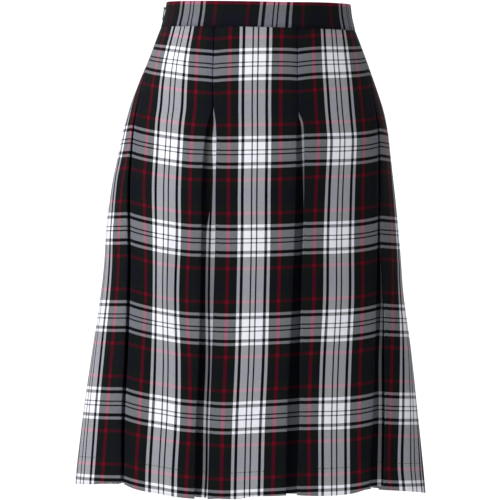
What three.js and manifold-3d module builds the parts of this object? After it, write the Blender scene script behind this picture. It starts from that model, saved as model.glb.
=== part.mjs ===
// A knee length box pleat skirt, worn shape, with no wearer in it.
// Millimetres. +X is the right of the front view, +Y the back, +Z up.
// The origin is the centre of the waist, halfway up the waistband.

import * as THREE from "three";
import { mergeVertices } from "three/addons/utils/BufferGeometryUtils.js";
import Module from "manifold-3d";

const wasm = await Module();
wasm.setup();

// Cloth
const CLOTH = 1.0;
const HEM_DEPTH = 32;
const HEM_STEP = 1.5;
const SEAM_GAP = 0.3;
const BODY_LENGTH = 603.5;

// Waistband
const BAND_HEIGHT = 32;
const BAND_WALL = 2.4;
const BAND_EDGE = 0.8;
const BAND_STATIONS = 46;
const BAND_OPENING = 2.2;

// The side seams lie this far behind the widest line of the skirt.
const SEAM_SHIFT = 8;

// Each pleat hides this much cloth under the panel on its left and on its right.
const UNDER_LEFT = 20;
const UNDER_RIGHT = 42;
// A pleat that opens draws its inner folds in by this share of the gap.
const FOLD_DRAWN = 0.25;
// An inner fold stays this far from a side seam.
const FOLD_TO_SEAM = 6;
// A fold's nose is this share of the space between its layers.
const NOSE = 0.45;
// The sharpest corner of a wall reaches out by its half thickness over this.
const MITRE_LIMIT = 0.5;

// Spans of straight cloth between folds
const PANEL_SPANS = 6;
const SIDE_SPANS = 6;
const RETURN_SPANS = 2;
const UNDERLAY_SPANS = 4;

// Side zip
const ZIP_LENGTH = 200;
const CHAIN_WIDTH = 5;
const CHAIN_THICKNESS = 1.4;
const CHAIN_CLEAR = 0.35;
const HINGE_HEIGHT = 8;
const HINGE_OUT = 1.9;
const PIN_RADIUS = 0.45;
const PIN_HALF = 2.3;
const PIN_SIDES = 12;
const NECK_HALF = 0.7;
const NECK_RISE = 1.2;
const ARM_INNER = 1.0;
const ARM_OUTER = 2.1;
const EYE_RADIUS = 1.3;
const EYE_BORE = 0.75;
const EYE_SIDES = 16;
const BORE_OVERRUN = 1;
const PULL_LENGTH = 16;
const PULL_TOP = 1.6;
const PULL_WIDTH = 4.4;
const PULL_NARROW = 3.4;
const PULL_THICKNESS = 1.0;
const PULL_HOLE = 1.1;
const CURVE_SPANS = 8;
const SLIDER_WIDTH = 5.4;
const SLIDER_HEIGHT = 8;
const SLIDER_DEPTH = 2;

function namedRows(columns, rows) {
  return rows.map((row) => Object.fromEntries(columns.map((name, i) => [name, row[i]])));
}

// One row for each level of the skirt's outline. drop is the length of cloth below the
// waist seam, layer the space between the sides of a fold, and deep how far behind the
// panels the hidden cloth of a pleat hangs.
const LEVEL_COLUMNS = ["drop", "halfWidth", "halfDepth", "layer", "deep"];
const LEVELS = namedRows(LEVEL_COLUMNS, [
  [0, 123.3, 86, 1.9, 3.8],
  [43, 137.6, 90, 1.9, 3.8],
  [75, 149.5, 92.5, 1.9, 3.8],
  [107, 160.4, 95, 1.9, 3.8],
  [125, 165.2, 96.5, 1.9, 5.6],
  [147, 170.6, 98, 2, 8],
  [209, 180.4, 100, 2.1, 10.5],
  [273, 186.8, 97, 2.2, 12],
  [350, 193.5, 92, 2.2, 13],
  [430, 204, 87, 2.3, 13],
  [505, 213.5, 82.5, 2.3, 12],
  [BODY_LENGTH - HEM_DEPTH, 220.5, 79.5, 2.4, 11],
  [BODY_LENGTH - HEM_DEPTH + HEM_STEP, 220.6, 79.4, 2.4, 11],
  [BODY_LENGTH, 223, 78, 2.4, 10.5],
]);

// The fold lines, a row for each level. centre is half the middle panel. The gaps are the
// open slits of the pleats, the panels the cloth that shows between them, and sway is how
// far the panels hang to one side.
const FOLD_COLUMNS = [
  "centre", "leftGap", "leftPanel", "leftOuter", "rightGap", "rightPanel", "rightOuter", "sway",
];
const FRONT = namedRows(FOLD_COLUMNS, [
  [53.8, 2.2, 107.6, 2.2, 2.2, 107.6, 2.2, -1.3],
  [53.8, 2.2, 107.2, 2.2, 2.2, 107.2, 2.2, -1.3],
  [53.8, 2.2, 110, 2.2, 2.2, 110, 2.2, -1.3],
  [53.6, 2.4, 111.5, 2.4, 2.4, 111.5, 2.6, -0.9],
  [52, 8.5, 110, 3, 7.5, 111, 4, -0.4],
  [51, 13.2, 107.4, 4.2, 11.6, 110.4, 4.8, 0],
  [51, 16, 103.4, 4.4, 11.7, 109.4, 5.2, 0.4],
  [50.4, 17.4, 99.1, 4.4, 12, 105, 5.5, 1.3],
  [50.2, 17.2, 96.4, 4.4, 12.2, 102.5, 9.5, 1.3],
  [49.4, 18, 95, 4.6, 13, 100, 12.5, 0.9],
  [49, 18.5, 94.5, 4.6, 15, 98.1, 17, -0.9],
  [49.6, 17.8, 93.1, 4.4, 14, 96, 19, -1.3],
  [49.6, 17.8, 93.1, 4.4, 14, 96, 19, -1.3],
  [50.2, 17.3, 92.7, 4.6, 13.2, 95.1, 20, -1.3],
]);

// The back, in its own view from behind
const BACK = namedRows(FOLD_COLUMNS, [
  [50, 2.2, 94.4, 2.2, 2.2, 94.4, 2.2, 0],
  [50.8, 2.2, 99, 2.2, 2.2, 99, 2.2, 0],
  [51.8, 2.2, 104, 2.2, 2.2, 104, 2.2, 0],
  [52.4, 2.4, 108, 2.2, 2.4, 108, 2.2, 0],
  [51.6, 7.5, 108, 2.3, 8.5, 107, 2.3, 0],
  [51, 12, 107, 2.4, 13, 106, 2.4, 0],
  [51, 13.5, 105, 2.6, 14.5, 104, 2.6, 0],
  [50.4, 14, 102, 3.6, 15.5, 101, 3, 0],
  [50, 14.2, 100, 5.2, 16, 99.4, 3.8, 0],
  [49.6, 15, 98.4, 7.4, 16.4, 98, 5, 0],
  [49.4, 15.6, 97.6, 9.6, 16.8, 97.4, 6.6, 0],
  [49.6, 15.6, 97.4, 10.6, 16.6, 97.2, 7.6, 0],
  [49.6, 15.6, 97.4, 10.6, 16.6, 97.2, 7.6, 0],
  [50, 15.4, 97.2, 11, 16.2, 97, 8, 0],
]);

// The waistband's outline, a row for each height above its middle
const BAND = [
  { height: BAND_HEIGHT / 2, halfWidth: 116.3, halfDepth: 81.3, wall: BAND_WALL - BAND_EDGE },
  { height: BAND_HEIGHT / 2 - BAND_EDGE, halfWidth: 116.5, halfDepth: 81.4, wall: BAND_WALL },
  { height: 0, halfWidth: 118.6, halfDepth: 83, wall: BAND_WALL },
  { height: -BAND_HEIGHT / 2, halfWidth: 122.9, halfDepth: 85.8, wall: BAND_WALL },
];

const CLOTH_COLOUR = 0x2a2228;
const METAL_COLOUR = 0x26272b;
const TAPE_COLOUR = 0x1d1d22;

function matte(color) {
  return new THREE.MeshStandardMaterial({ color, roughness: 0.9, metalness: 0 });
}

function enamel() {
  return new THREE.MeshStandardMaterial({ color: METAL_COLOUR, roughness: 0.35, metalness: 0.8 });
}

// An ellipse seen from above, walked by arc length from its front middle. Positive arcs
// go to the right, and a point can be set in from the line by a depth.
class Outline {
  static STEPS = 720;

  constructor(halfWidth, halfDepth) {
    this.halfWidth = halfWidth;
    this.halfDepth = halfDepth;
    this.arcs = [0];
    const step = (2 * Math.PI) / Outline.STEPS;
    for (let i = 0; i < Outline.STEPS; i += 1) {
      this.arcs.push(this.arcs[i] + this.speed((i + 0.5) * step) * step);
    }
    this.length = this.arcs[Outline.STEPS];
    this.quarter = this.length / 4;
  }

  speed(turn) {
    return Math.hypot(this.halfWidth * Math.cos(turn), this.halfDepth * Math.sin(turn));
  }

  turnAt(arc) {
    const along = Math.abs(arc);
    let low = 0;
    let high = Outline.STEPS;
    while (high - low > 1) {
      const middle = (low + high) >> 1;
      if (this.arcs[middle] <= along) low = middle;
      else high = middle;
    }
    const share = (along - this.arcs[low]) / (this.arcs[high] - this.arcs[low]);
    return (Math.sign(arc) * (low + share) * 2 * Math.PI) / Outline.STEPS;
  }

  outward(arc) {
    const turn = this.turnAt(arc);
    const across = this.halfDepth * Math.sin(turn);
    const along = -this.halfWidth * Math.cos(turn);
    return new THREE.Vector2(across, along).normalize();
  }

  point(arc, depth) {
    const turn = this.turnAt(arc);
    const x = this.halfWidth * Math.sin(turn);
    const y = -this.halfDepth * Math.cos(turn);
    return new THREE.Vector2(x, y).addScaledVector(this.outward(arc), -depth);
  }
}

// Spans of cloth between two places, each an arc and a depth, without the end that the
// next stretch begins with
function slope(path, [arc, depth], [toArc, toDepth], spans) {
  for (let i = 0; i < spans; i += 1) {
    const share = i / spans;
    path.push({ arc: arc + (toArc - arc) * share, depth: depth + (toDepth - depth) * share });
  }
}

// The nose of a fold that turns from one layer to the next. side is 1 where the cloth
// comes from the left and -1 where it comes from the right.
function foldNose(path, at, side, depth, nextDepth) {
  const nose = Math.abs(nextDepth - depth) * NOSE;
  path.push({ arc: at - side * nose, depth });
  path.push({ arc: at, depth: (depth + nextDepth) / 2 });
}

// The line that the cloth follows round one piece, from side seam to side seam
function clothPath(folds, outline, level, shift) {
  const { layer, deep } = level;
  const seam = outline.quarter + shift - SEAM_GAP / 2;
  const left = folds.sway - folds.centre;
  const right = folds.sway + folds.centre;
  const leftEnd = left - folds.leftGap;
  const leftStart = leftEnd - folds.leftPanel;
  const rightStart = right + folds.rightGap;
  const rightEnd = rightStart + folds.rightPanel;
  const panels = [
    { from: -seam, to: leftStart - folds.leftOuter, spans: SIDE_SPANS },
    { from: leftStart, to: leftEnd, spans: PANEL_SPANS },
    { from: left, to: right, spans: PANEL_SPANS },
    { from: rightStart, to: rightEnd, spans: PANEL_SPANS },
    { from: rightEnd + folds.rightOuter, to: seam, spans: SIDE_SPANS },
  ];
  const nose = layer * NOSE;
  const path = [];
  panels.forEach((panel, i) => {
    const first = i === 0;
    const last = i === panels.length - 1;
    const from = first ? panel.from : panel.from + nose;
    const to = last ? panel.to : panel.to - nose;
    slope(path, [from, 0], [to, 0], panel.spans);
    if (last) {
      path.push({ arc: panel.to, depth: 0 });
      return;
    }
    const next = panels[i + 1];
    const drawn = (next.from - panel.to) * FOLD_DRAWN;
    const roomLeft = first ? panel.to - panel.from - FOLD_TO_SEAM : Infinity;
    const roomRight = i + 1 === panels.length - 1 ? next.to - next.from - FOLD_TO_SEAM : Infinity;
    const innerLeft = panel.to - Math.min(UNDER_LEFT - drawn, roomLeft);
    const innerRight = next.from + Math.min(UNDER_RIGHT - drawn, roomRight);
    const back = deep - layer;
    foldNose(path, panel.to, 1, 0, layer);
    slope(path, [panel.to - nose, layer], [innerLeft + nose, back], RETURN_SPANS);
    foldNose(path, innerLeft, -1, back, deep);
    slope(path, [innerLeft + nose, deep], [innerRight - nose, deep], UNDERLAY_SPANS);
    foldNose(path, innerRight, 1, deep, back);
    slope(path, [innerRight - nose, back], [next.from + nose, layer], RETURN_SPANS);
    foldNose(path, next.from, -1, layer, 0);
  });
  return path;
}

// Moves each point of a flat line sideways, outwards for a positive distance, so that the
// moved line keeps its distance from the first one round corners too. ends holds the
// outward directions at its two ends.
function offsetLine(points, distance, ends) {
  const last = points.length - 1;
  return points.map((point, i) => {
    if (i === 0) return point.clone().addScaledVector(ends[0], distance);
    if (i === last) return point.clone().addScaledVector(ends[1], distance);
    const arriving = point.clone().sub(points[i - 1]).normalize();
    const leaving = points[i + 1].clone().sub(point).normalize();
    const along = arriving.clone().add(leaving).normalize();
    const reach = distance / Math.max(along.dot(arriving), MITRE_LIMIT);
    return new THREE.Vector2(point.x + along.y * reach, point.y - along.x * reach);
  });
}

// A closed wall between two surfaces, each a list of rings of the same number of points
function wallGeometry(outerRings, innerRings) {
  const rows = outerRings.length;
  const columns = outerRings[0].length;
  const positions = [];
  for (const ring of [...outerRings, ...innerRings]) {
    for (const point of ring) positions.push(point.x, point.y, point.z);
  }
  const outer = (row, column) => row * columns + column;
  const inner = (row, column) => (rows + row) * columns + column;
  const index = [];
  const quad = (a, b, c, d) => index.push(a, b, c, a, c, d);
  for (let row = 0; row < rows - 1; row += 1) {
    for (let i = 0; i < columns - 1; i += 1) {
      quad(outer(row, i), outer(row + 1, i), outer(row + 1, i + 1), outer(row, i + 1));
      quad(inner(row, i), inner(row, i + 1), inner(row + 1, i + 1), inner(row + 1, i));
    }
    const end = columns - 1;
    quad(outer(row, 0), inner(row, 0), inner(row + 1, 0), outer(row + 1, 0));
    quad(outer(row, end), outer(row + 1, end), inner(row + 1, end), inner(row, end));
  }
  const bottom = rows - 1;
  for (let i = 0; i < columns - 1; i += 1) {
    quad(outer(0, i), outer(0, i + 1), inner(0, i + 1), inner(0, i));
    quad(outer(bottom, i), inner(bottom, i), inner(bottom, i + 1), outer(bottom, i + 1));
  }
  const geometry = new THREE.BufferGeometry();
  geometry.setAttribute("position", new THREE.Float32BufferAttribute(positions, 3));
  geometry.setIndex(index);
  geometry.computeVertexNormals();
  return geometry;
}

// Lowers each point by the cloth's length from the ring above, less what the cloth
// travels sideways, because cloth doesn't stretch.
function hangRings(flatRings, drops, top) {
  const hung = [];
  flatRings.forEach((ring, row) => {
    hung.push(ring.map((point, i) => {
      if (row === 0) return new THREE.Vector3(point.x, point.y, top);
      const above = hung[row - 1][i];
      const sideways = Math.hypot(point.x - above.x, point.y - above.y);
      const length = drops[row] - drops[row - 1];
      const fall = Math.sqrt(Math.max(length ** 2 - sideways ** 2, (length / 2) ** 2));
      return new THREE.Vector3(point.x, point.y, above.z - fall);
    }));
  });
  return hung;
}

const SKIRT_TOP = -BAND_HEIGHT / 2 - SEAM_GAP;

// The front or the back with its four inverted pleats. facing is 1 for the front and -1
// for the back, which is turned half round.
function pleatedPiece(folds, facing) {
  const shift = facing * SEAM_SHIFT;
  const outlines = LEVELS.map((level) => new Outline(level.halfWidth, level.halfDepth));
  const lines = LEVELS.map((level, row) => (
    clothPath(folds[row], outlines[row], level, shift)
      .map(({ arc, depth }) => outlines[row].point(arc, depth).multiplyScalar(facing))
  ));
  const hung = hangRings(lines, LEVELS.map((level) => level.drop), SKIRT_TOP);
  const moved = (row, distance) => {
    const seam = outlines[row].quarter + shift - SEAM_GAP / 2;
    const ends = [-seam, seam].map((arc) => outlines[row].outward(arc).multiplyScalar(facing));
    return offsetLine(lines[row], distance, ends).map((point, i) => (
      new THREE.Vector3(point.x, point.y, hung[row][i].z)
    ));
  };
  const outerRings = LEVELS.map((_, row) => moved(row, CLOTH / 2));
  const innerRings = LEVELS.map((level, row) => {
    const turnedUp = level.drop > BODY_LENGTH - HEM_DEPTH ? CLOTH : 0;
    return moved(row, -CLOTH / 2 - turnedUp);
  });
  return wallGeometry(outerRings, innerRings);
}

// The waistband runs all round, from one side of the zip to the other.
function waistband() {
  const ring = (level, side) => {
    const outline = new Outline(level.halfWidth, level.halfDepth);
    const start = -outline.quarter - SEAM_SHIFT + BAND_OPENING / 2;
    const span = outline.length - BAND_OPENING;
    const points = [];
    for (let i = 0; i <= BAND_STATIONS; i += 1) {
      const arc = start + (span * i) / BAND_STATIONS;
      const wrapped = arc > outline.length / 2 ? arc - outline.length : arc;
      const point = outline.point(wrapped, (-side * level.wall) / 2);
      points.push(new THREE.Vector3(point.x, point.y, level.height));
    }
    return points;
  };
  return wallGeometry(BAND.map((level) => ring(level, 1)), BAND.map((level) => ring(level, -1)));
}

// Where the left side seam runs on the waistband and on the skirt below it
function seamStations() {
  const onBand = BAND.slice(2).map((level) => ({ ...level, inside: BAND_WALL / 2 }));
  const stations = onBand.map((level) => ({ ...level, z: level.height }));
  let z = SKIRT_TOP;
  let previous = null;
  for (const level of LEVELS.filter(({ drop }) => drop <= ZIP_LENGTH)) {
    if (previous) {
      const length = level.drop - previous.drop;
      z -= Math.sqrt(length ** 2 - (level.halfWidth - previous.halfWidth) ** 2);
      stations.push({ ...level, z, inside: CLOTH / 2 });
    }
    previous = level;
  }
  return stations;
}

// The closed chain of the zip, just inside the left side seam
function zipChain() {
  const outerRings = [];
  const innerRings = [];
  for (const station of seamStations()) {
    const outline = new Outline(station.halfWidth, station.halfDepth);
    const seam = -outline.quarter - SEAM_SHIFT;
    const ring = (depth) => [-1, 1].map((side) => {
      const point = outline.point(seam + (side * CHAIN_WIDTH) / 2, depth);
      return new THREE.Vector3(point.x, point.y, station.z);
    });
    const face = station.inside + CHAIN_CLEAR;
    outerRings.push(ring(face));
    innerRings.push(ring(face + CHAIN_THICKNESS));
  }
  return wallGeometry(outerRings, innerRings);
}

function toSolid(geometry) {
  const bare = geometry.clone();
  bare.deleteAttribute("normal");
  bare.deleteAttribute("uv");
  const merged = mergeVertices(bare);
  return new wasm.Manifold(new wasm.Mesh({
    numProp: 3,
    vertProperties: new Float32Array(merged.attributes.position.array),
    triVerts: new Uint32Array(merged.index.array),
  }));
}

function toGeometry(solid) {
  const mesh = solid.getMesh();
  const geometry = new THREE.BufferGeometry();
  geometry.setAttribute("position", new THREE.BufferAttribute(mesh.vertProperties, 3));
  geometry.setIndex(new THREE.BufferAttribute(mesh.triVerts, 1));
  geometry.computeVertexNormals();
  return geometry;
}

function block(xFrom, xTo, yFrom, yTo, zFrom, zTo) {
  const box = new THREE.BoxGeometry(xTo - xFrom, yTo - yFrom, zTo - zFrom);
  return toSolid(box.translate((xFrom + xTo) / 2, (yFrom + yTo) / 2, (zFrom + zTo) / 2));
}

// A rod along Y, which is how a CylinderGeometry already stands
function rod(radius, yFrom, yTo, sides) {
  const cylinder = new THREE.CylinderGeometry(radius, radius, yTo - yFrom, sides);
  return toSolid(cylinder.translate(0, (yFrom + yTo) / 2, 0));
}

// In the zip's own frame X points out of the waistband, Z up along it, and the hinge pin
// is at the origin.
function sliderGeometry() {
  const inside = -HINGE_OUT - BAND_WALL - CHAIN_CLEAR;
  const halfWidth = SLIDER_WIDTH / 2;
  const halfHeight = SLIDER_HEIGHT / 2;
  const back = inside - SLIDER_DEPTH;
  const body = block(back, inside, -halfWidth, halfWidth, -halfHeight, halfHeight);
  const neck = block(inside - SLIDER_DEPTH / 2, 0, -NECK_HALF, NECK_HALF, -NECK_RISE, NECK_RISE);
  const pin = rod(PIN_RADIUS, -PIN_HALF, PIN_HALF, PIN_SIDES);
  return toGeometry(body.add(neck).add(pin));
}

function pullGeometry() {
  const outline = new THREE.Shape();
  const top = -PULL_TOP;
  const bottom = -PULL_LENGTH;
  outline.moveTo(-PULL_WIDTH / 2, top);
  outline.lineTo(-PULL_NARROW / 2, (top + bottom) / 2);
  outline.lineTo(-PULL_WIDTH / 2, bottom + PULL_WIDTH / 2);
  outline.absarc(0, bottom + PULL_WIDTH / 2, PULL_WIDTH / 2, Math.PI, 2 * Math.PI, false);
  outline.lineTo(PULL_NARROW / 2, (top + bottom) / 2);
  outline.lineTo(PULL_WIDTH / 2, top);
  outline.closePath();
  const hole = new THREE.Path();
  hole.absarc(0, bottom + PULL_WIDTH / 2, PULL_HOLE, 0, 2 * Math.PI, true);
  outline.holes.push(hole);
  const flat = new THREE.ExtrudeGeometry(outline, {
    depth: PULL_THICKNESS,
    bevelEnabled: false,
    curveSegments: CURVE_SPANS,
  });
  flat.translate(0, 0, -PULL_THICKNESS / 2);
  // The drawn outline's X becomes Y, its Y becomes Z and its depth becomes X.
  flat.applyMatrix4(new THREE.Matrix4().makeBasis(
    new THREE.Vector3(0, 1, 0),
    new THREE.Vector3(0, 0, 1),
    new THREE.Vector3(1, 0, 0),
  ));
  let pull = toSolid(flat);
  for (const [from, to] of [[-ARM_OUTER, -ARM_INNER], [ARM_INNER, ARM_OUTER]]) {
    const arm = block(-PULL_THICKNESS / 2, PULL_THICKNESS / 2, from, to, top - PULL_THICKNESS, 0);
    pull = pull.add(rod(EYE_RADIUS, from, to, EYE_SIDES)).add(arm);
  }
  const beyond = PIN_HALF + BORE_OVERRUN;
  return toGeometry(pull.subtract(rod(EYE_BORE, -beyond, beyond, EYE_SIDES)));
}

// The zip's frame: on the left side seam, level with the hinge, leaning with the band
function zipFrame() {
  const [upper, lower] = [BAND[1], BAND[2]];
  const share = (HINGE_HEIGHT - lower.height) / (upper.height - lower.height);
  const mix = (name) => lower[name] + (upper[name] - lower[name]) * share;
  const outline = new Outline(mix("halfWidth"), mix("halfDepth"));
  const seam = -outline.quarter - SEAM_SHIFT;
  const away = outline.outward(seam);
  const lean = (lower.halfWidth - upper.halfWidth) / (upper.height - lower.height);
  const up = new THREE.Vector3(-away.x * lean, -away.y * lean, 1).normalize();
  const along = new THREE.Vector3(0, 0, 1).cross(new THREE.Vector3(away.x, away.y, 0)).normalize();
  const out = along.clone().cross(up).normalize();
  const surface = outline.point(seam, -BAND_WALL / 2);
  const frame = new THREE.Group();
  const matrix = new THREE.Matrix4().makeBasis(out, along, up);
  frame.quaternion.setFromRotationMatrix(matrix);
  frame.position.set(surface.x, surface.y, HINGE_HEIGHT).addScaledVector(out, HINGE_OUT);
  return frame;
}

function named(name, geometry, material) {
  const mesh = new THREE.Mesh(geometry, material);
  mesh.name = name;
  return mesh;
}

const skirt = new THREE.Group();
skirt.add(named("skirt_front", pleatedPiece(FRONT, 1), matte(CLOTH_COLOUR)));
skirt.add(named("skirt_back", pleatedPiece(BACK, -1), matte(CLOTH_COLOUR)));
skirt.add(named("waistband", waistband(), matte(CLOTH_COLOUR)));
skirt.add(named("zip_chain", zipChain(), matte(TAPE_COLOUR)));

const zip = zipFrame();
zip.add(named("zip_slider", sliderGeometry(), enamel()));
zip.add(named("zip_pull", pullGeometry(), enamel()));
skirt.add(zip);

export default skirt;
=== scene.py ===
"""A knee length box pleat skirt in a tartan twill, in its worn shape with no wearer in it."""
import math

import bmesh
import bpy
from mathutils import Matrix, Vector


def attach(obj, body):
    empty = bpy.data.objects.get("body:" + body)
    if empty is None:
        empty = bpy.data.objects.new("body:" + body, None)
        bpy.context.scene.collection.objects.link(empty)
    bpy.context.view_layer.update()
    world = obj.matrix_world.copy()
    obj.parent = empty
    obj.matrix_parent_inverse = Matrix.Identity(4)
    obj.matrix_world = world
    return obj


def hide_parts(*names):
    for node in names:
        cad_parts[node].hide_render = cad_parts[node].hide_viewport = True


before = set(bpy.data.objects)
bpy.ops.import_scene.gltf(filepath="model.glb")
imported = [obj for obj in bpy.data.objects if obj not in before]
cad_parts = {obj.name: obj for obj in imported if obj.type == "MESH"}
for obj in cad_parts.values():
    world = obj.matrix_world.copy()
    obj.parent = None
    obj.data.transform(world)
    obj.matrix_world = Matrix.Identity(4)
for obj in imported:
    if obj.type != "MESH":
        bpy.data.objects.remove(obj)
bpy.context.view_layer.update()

bl_info = {
    "name": "Box Pleat Skirt",
    "version": (1, 0, 0),
    "blender": (4, 5, 0),
    "location": "View3D > Sidebar > Skirt",
    "description": "Builds a worn box pleat skirt in tartan cloth with a side zip",
    "category": "Add Mesh",
}

MM = 0.001
BODY = "skirt"

# Lengths are in millimetres here and in every table below.
BODY_LENGTH = 603.5
HEM_DEPTH = 32.0
HEM_OFFSET = 1.0
SEAM_GAP = 0.3
# How far the side seams lie behind the widest place
SEAM_SHIFT = 8.0
# How far the front stands out before the waist's middle, for the camera's lens
FRONT_REACH = 80.0

# The waistband. Its lower edges lap over the top of the skirt's cloth.
BAND_HEIGHT = 32.0
BAND_WALL = 2.4
BAND_CLOTH = 0.8
BAND_OPENING = 2.2
BAND_LAP = 0.5
SKIRT_TOP = -BAND_HEIGHT / 2 - SEAM_GAP

# The pleats: how far they reach behind the panels, less as they open, and how the stitches
# hold them shut
UNDER_LEFT = 20.0
UNDER_RIGHT = 42.0
FOLD_DRAWN = 0.25
FOLD_TO_SEAM = 6.0
STITCHED_TO = 107.0
STITCH_EASE = 18.0
STITCH_CLOSING = 0.9

# The check inside the pleats is moved so that its stripes show where the photo has them:
# where it shows in the outer left pleat, how fast it runs across what shows in each pleat
# from left to right, and where it jumps over the stretch of cloth set below, as at a small
# tuck, which isn't modelled. The jump also keeps the red stripe out of the pleats' openings,
# and high in the left pleat the thin white one too, so that darker cloth stands there as
# painted shade. TRUE_SHARE of the cloth before what shows keeps its true rate.
OUTER_SHOWN = -38.0
SHOWN_RATES = (1.2, 1.2, 1.2, 0.7)
# The jump's place, its length and its softness: it puts darker cloth in the pleats' openings as
# painted shade.
SHADE_TUCK_AT = -21.4
SHADE_TUCKED = 22.0
SHADE_TUCK_WIDTH = 0.25
TRUE_SHARE = 0.2

DRAWN_TO = 60.0
DRAWN_LEFT = 0.19
DRAWN_RIGHT = 0.06

# How finely the cloth is divided
PANEL_SPANS = 24
SIDE_SPANS = 20
RETURN_SPANS = 6
HIDDEN_SPANS = 4
SHOWN_SPANS = 8
NOSE_SPANS = 5
HEM_SPANS = 6
BAND_SPANS = 180
BAND_EDGE_SPANS = 5
BAND_SIDE_SPANS = 6

# The outline by length of cloth below the waist seam
LEVEL_COLUMNS = ("drop", "half_width", "half_depth", "layer", "deep")
LEVELS = (
    (0, 123.3, 86, 1.9, 3.8),
    (43, 137.6, 90, 1.9, 3.8),
    (75, 149.5, 92.5, 1.9, 3.8),
    (107, 160.4, 95, 1.9, 3.8),
    (125, 165.2, 96.5, 1.9, 6.5),
    (147, 170.6, 98, 2, 9.5),
    (209, 180.4, 100, 2.1, 13),
    (273, 186.8, 97, 2.2, 15),
    (350, 193.5, 92, 2.2, 16.5),
    (430, 204, 87, 2.3, 17),
    (505, 213.5, 82.5, 2.3, 16.5),
    (571.5, 220.5, 79.5, 2.4, 15),
    (603.5, 223, 78, 2.4, 14),
)

# Fold lines by arc from the middle. The later columns place the check: where the white
# stripe of each panel beside the middle runs, how far beyond the outer folds the next
# white stripe lies, how much a panel is gathered, how far the cloth that shows at the
# right edge of a pleat lies from the white stripe hidden in that pleat, and where the
# check inside the left pleat jumps past the stripes that would show bright there, so
# that darker cloth stands in the opening as painted shade.
FOLD_COLUMNS = (
    "drop", "centre_left", "centre_right", "left_gap", "left_panel", "left_outer",
    "right_gap", "right_panel", "right_outer", "left_white", "right_white",
    "left_beyond", "right_beyond", "sway", "left_gather",
    "left_shown", "right_shown", "far_shown", "left_shade_tuck",
)
FRONT = (
    (
        0, 53.8, 53.8, 2.2, 107.6, 2.2, 2.2, 107.6, 2.2,
        100.1, 106.1, 38, 43.5, -1.3, 1, -11.5, -16.6, -22, -13.4,
    ),
    (
        43, 53.8, 53.8, 2.2, 107.2, 2.2, 2.2, 107.2, 2.2,
        108.1, 108.6, 38, 43.5, -1.3, 1, -11.5, -16.6, -22, -13.4,
    ),
    (
        75, 53.8, 54.3, 2.2, 110, 2.2, 2.2, 109.5, 2.2,
        109.8, 110.8, 38, 43.5, -1.3, 1, -11.5, -16.6, -22, -13.4,
    ),
    (
        107, 52.1, 55.5, 3.9, 111.5, 3.2, 2.4, 109.6, 2.6,
        110.5, 112.6, 37.2, 43.5, -0.9, 1, -11.5, -16.6, -22, -13.4,
    ),
    (
        125, 50.4, 54.2, 10.1, 110, 4.2, 8.7, 107.6, 4,
        112.7, 113.9, 33.8, 45, -0.4, 1, -10.3, -16.6, -22, -13.4,
    ),
    (
        147, 49.3, 53.4, 15.4, 106.9, 5.6, 10.4, 109.2, 4.8,
        113.9, 115.3, 33.1, 48, 0, 1.02, -6.8, -16.8, -22, -13.4,
    ),
    (
        209, 49.5, 53.2, 18.3, 102.6, 5.9, 11.6, 107.3, 5.2,
        115.6, 112.9, 41.5, 52, 0.4, 1.02, -8.5, -18.8, -22, -13.4,
    ),
    (
        273, 49.4, 51.9, 18.4, 99.1, 5.9, 11.4, 104.1, 5.5,
        113.9, 111, 46.5, 55, 1.3, 1.08, -6, -22, -22, -21.4,
    ),
    (
        350, 50, 50.4, 17.4, 96.4, 5.9, 12.3, 102.2, 12,
        112.9, 111.6, 49, 48.3, 1.3, 1.18, -7.2, -23, -19, -21.4,
    ),
    (
        430, 50.3, 48.8, 17.1, 95, 6, 13.9, 99.7, 14.5,
        110.5, 109.2, 52.1, 42.9, 0.9, 1.06, -10.6, -23, -15, -21.4,
    ),
    (
        505, 49.7, 49.4, 17.8, 94.5, 5.8, 16.1, 96.6, 17,
        108.8, 110.2, 53.8, 39.8, -0.9, 1, -10.5, -23, -14.5, -21.4,
    ),
    (
        571.5, 49.6, 49.6, 17.8, 93.1, 5.4, 15, 95, 19,
        110.7, 111.8, 57.5, 38.7, -1.3, 1, -11.6, -23, -14.5, -21.4,
    ),
    (
        603.5, 50.2, 50.2, 17.3, 92.7, 5.4, 14.1, 94.2, 20,
        110.7, 112.4, 59.2, 41.3, -1.3, 1, -11.2, -23, -14.5, -21.4,
    ),
)
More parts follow.
